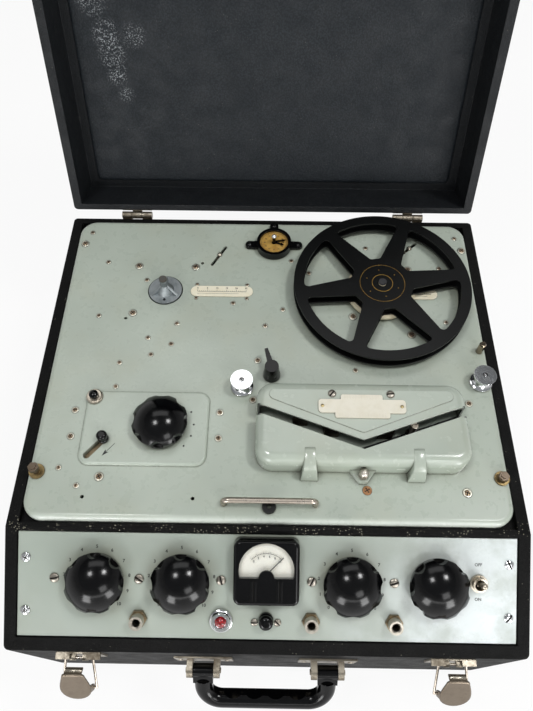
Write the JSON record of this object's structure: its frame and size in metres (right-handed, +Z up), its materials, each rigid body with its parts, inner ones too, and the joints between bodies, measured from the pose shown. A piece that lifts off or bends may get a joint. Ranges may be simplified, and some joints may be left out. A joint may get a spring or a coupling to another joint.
{
  "type": "reel-to-reel tape recorder",
  "caption": "Portable open-reel tape recorder in a black covered carrying case: hinged lid, tape deck with reel and head cover, sloping control panel, carrying handle and latches.",
  "frame": {"origin": "on the floor under the middle of the case, in the plane of its bottom board", "axes": "+X to the right of someone facing the control panel, +Y to the hinged back, +Z up"},
  "size_m": [0.444, 0.693, 0.6444],
  "materials": {
    "case_cloth": "black grained leathercloth on board",
    "lid_cloth": "charcoal grained leathercloth on board",
    "deck_enamel": "satin grey-green enamel",
    "panel_enamel": "satin cool grey enamel",
    "bakelite": "polished black moulding",
    "reel_black": "satin black moulding",
    "ivory": "polished ivory moulding",
    "ivory_card": "printed ivory scale",
    "cast_grey": "grey casting",
    "chrome_plate": "polished plating",
    "nickel": "turned plated metal",
    "aged_nickel": "tarnished plating",
    "screw_steel": "aged screws",
    "bolt_brass": "dull brass and steel",
    "gilt": "gilt dial",
    "window_glass": "clear window",
    "valve_glass": "clear bulb",
    "red_lens": "red faceted lens",
    "rubber": "black rubber",
    "motor_grey": "grey paint",
    "core_iron": "varnished laminations",
    "chassis_metal": "bare sheet",
    "blank_plate": "blank satin plate"
  },
  "bodies": {
    "base": {"cabinet": "case_cloth", "rubber_buffer": "rubber", "cabinet_hinge_leaves": "aged_nickel", "deck_plate": "deck_enamel", "head_cover": "deck_enamel", "head_gate": "deck_enamel", "nameplate": "blank_plate", "tape_heads": "nickel", "tape_guides": "chrome_plate", "deck_bolts": "bolt_brass", "fixing_screws": "screw_steel", "lift_bar": "aged_nickel", "motors": "motor_grey", "front_panel": "panel_enamel", "meter_case": "bakelite", "meter_dial": "ivory_card", "meter_glass": "window_glass", "jack_sockets": "nickel", "lamp_bezel": "chrome_plate", "lamp_lens": "red_lens", "control_bushes": "nickel", "control_pots": "nickel", "scale_plates": "ivory_card", "counter_housing": "bakelite", "counter_dial": "gilt", "handle_brackets": "aged_nickel", "latch_plates": "aged_nickel", "amplifier_chassis": "chassis_metal", "transformers": "core_iron", "valves": "valve_glass", "mains_inlet": "bakelite"},
    "lid": {"lid_shell": "lid_cloth", "lid_hinge_leaves": "aged_nickel", "lid_catch_plates": "aged_nickel"},
    "left_spool": {"left_turntable": "cast_grey"},
    "right_spool": {"right_turntable": "ivory", "takeup_reel": "reel_black"},
    "capstan": {"capstan_flywheel": "nickel"},
    "pinch_arm": {"pinch_arm": "nickel"},
    "pinch_wheel": {"pinch_wheel": "rubber"},
    "function_knob": {"function_knob": "bakelite"},
    "speed_knob": {"speed_knob": "bakelite"},
    "start_lever": {"start_lever": "bakelite"},
    "stop_button": {"stop_button": "bakelite"},
    "bass_knob": {"bass_knob": "bakelite"},
    "treble_knob": {"treble_knob": "bakelite"},
    "gain_knob": {"gain_knob": "bakelite"},
    "selector_knob": {"selector_knob": "bakelite"},
    "set_zero_knob": {"set_zero_knob": "bakelite"},
    "toggle_lever": {"toggle_lever": "nickel"},
    "meter_needle": {"meter_needle": "bakelite"},
    "left_brake_pin": {"left_brake_pin": "nickel"},
    "right_brake_pin": {"right_brake_pin": "nickel"},
    "counter_long_hand": {"counter_long_hand": "bakelite"},
    "counter_short_hand": {"counter_short_hand": "bakelite"},
    "handle_grip": {"handle_grip": "bakelite"},
    "left_latch_lever": {"left_latch_lever": "aged_nickel"},
    "right_latch_lever": {"right_latch_lever": "aged_nickel"},
    "left_latch_bail": {"left_latch_bail": "aged_nickel"},
    "right_latch_bail": {"right_latch_bail": "aged_nickel"}
  },
  "joints": [
    {"name": "lid_hinge", "type": "hinge", "parent": "base", "child": "lid", "pos_m": [0, 0.224, 0.212], "axis": [1, 0, 0], "range_deg": [0, 111]},
    {"name": "left_spool_spin", "type": "hinge", "parent": "base", "child": "left_spool", "pos_m": [-0.1089, 0.116, 0.218], "axis": [0, 0, 1], "continuous": true},
    {"name": "right_spool_spin", "type": "hinge", "parent": "base", "child": "right_spool", "pos_m": [0.1121, 0.116, 0.218], "axis": [0, 0, 1], "continuous": true},
    {"name": "capstan_spin", "type": "hinge", "parent": "base", "child": "capstan", "pos_m": [0.1287, -0.03931, 0.218], "axis": [0, 0, 1], "continuous": true},
    {"name": "pinch_arm_swing", "type": "hinge", "parent": "base", "child": "pinch_arm", "pos_m": [0.16, -0.062, 0.218], "axis": [0, 0, -1], "range_deg": [0, 8]},
    {"name": "pinch_wheel_spin", "type": "hinge", "parent": "pinch_arm", "child": "pinch_wheel", "pos_m": [0.13161, -0.05475, 0.226], "axis": [0, 0, 1], "continuous": true},
    {"name": "function_turn", "type": "hinge", "parent": "base", "child": "function_knob", "pos_m": [-0.0975, -0.036, 0.221], "axis": [0, 0, 1], "range_deg": [0, 90]},
    {"name": "speed_turn", "type": "hinge", "parent": "base", "child": "speed_knob", "pos_m": [0.002, 0.0184, 0.218], "axis": [0, 0, 1], "range_deg": [-60, 0]},
    {"name": "start_slide", "type": "slide", "parent": "base", "child": "start_lever", "axis": [-0.6428, -0.766, 0], "range_m": [0, 0.02]},
    {"name": "stop_press", "type": "slide", "parent": "base", "child": "stop_button", "axis": [0, 0, -1], "range_m": [0, 0.004], "stiffness_N_per_m": 300},
    {"name": "bass_turn", "type": "hinge", "parent": "base", "child": "bass_knob", "pos_m": [-0.144, -0.16471, 0.1893], "axis": [0, -0.4961, 0.8682], "range_deg": [-140, 140]},
    {"name": "treble_turn", "type": "hinge", "parent": "base", "child": "treble_knob", "pos_m": [-0.072, -0.16471, 0.1893], "axis": [0, -0.4961, 0.8682], "range_deg": [-140, 140]},
    {"name": "gain_turn", "type": "hinge", "parent": "base", "child": "gain_knob", "pos_m": [0.072, -0.16471, 0.1893], "axis": [0, -0.4961, 0.8682], "range_deg": [-140, 140]},
    {"name": "selector_turn", "type": "hinge", "parent": "base", "child": "selector_knob", "pos_m": [0.144, -0.16471, 0.1893], "axis": [0, -0.4961, 0.8682], "range_deg": [-60, 60]},
    {"name": "set_zero_turn", "type": "hinge", "parent": "base", "child": "set_zero_knob", "pos_m": [0, -0.19162, 0.17392], "axis": [0, -0.4961, 0.8682], "range_deg": [-140, 140]},
    {"name": "toggle_flip", "type": "hinge", "parent": "base", "child": "toggle_lever", "pos_m": [0.1786, -0.16362, 0.19223], "axis": [1, 0, 0], "range_deg": [0, 24]},
    {"name": "meter_needle_swing", "type": "hinge", "parent": "base", "child": "meter_needle", "pos_m": [0, -0.16099, 0.20295], "axis": [0, -0.4961, 0.8682], "range_deg": [0, 90]},
    {"name": "left_brake_slide", "type": "slide", "parent": "base", "child": "left_brake_pin", "axis": [0.4924, 0.8704, 0], "range_m": [-0.012, 0.009]},
    {"name": "right_brake_slide", "type": "slide", "parent": "base", "child": "right_brake_pin", "axis": [0.7431, 0.6691, 0], "range_m": [-0.012, 0.009]},
    {"name": "counter_long_spin", "type": "hinge", "parent": "base", "child": "counter_long_hand", "pos_m": [0.0025, 0.1758, 0.218], "axis": [0, 0, 1], "continuous": true},
    {"name": "counter_short_spin", "type": "hinge", "parent": "base", "child": "counter_short_hand", "pos_m": [0.0025, 0.1758, 0.218], "axis": [0, 0, 1], "continuous": true},
    {"name": "handle_swing", "type": "hinge", "parent": "base", "child": "handle_grip", "pos_m": [0, -0.228, 0.112], "axis": [-1, 0, 0], "range_deg": [0, 100]},
    {"name": "left_link_swing", "type": "hinge", "parent": "base", "child": "left_latch_bail", "pos_m": [-0.16, -0.222, 0.148], "axis": [-1, 0, 0], "range_deg": [-25, 20]},
    {"name": "left_latch_swing", "type": "hinge", "parent": "left_latch_bail", "child": "left_latch_lever", "pos_m": [-0.16, -0.24359, 0.13113], "axis": [1, 0, 0], "range_deg": [-8, 40]},
    {"name": "right_link_swing", "type": "hinge", "parent": "base", "child": "right_latch_bail", "pos_m": [0.16, -0.222, 0.148], "axis": [-1, 0, 0], "range_deg": [-25, 20]},
    {"name": "right_latch_swing", "type": "hinge", "parent": "right_latch_bail", "child": "right_latch_lever", "pos_m": [0.16, -0.24359, 0.13113], "axis": [1, 0, 0], "range_deg": [-8, 40]}
  ],
  "couplings": [
    {"joint": "pinch_arm_swing", "follows": "start_slide", "rad_per_m": 6.98},
    {"joint": "right_brake_slide", "follows": "left_brake_slide", "ratio": 1},
    {"joint": "counter_short_spin", "follows": "counter_long_spin", "ratio": 0.083333}
  ]
}
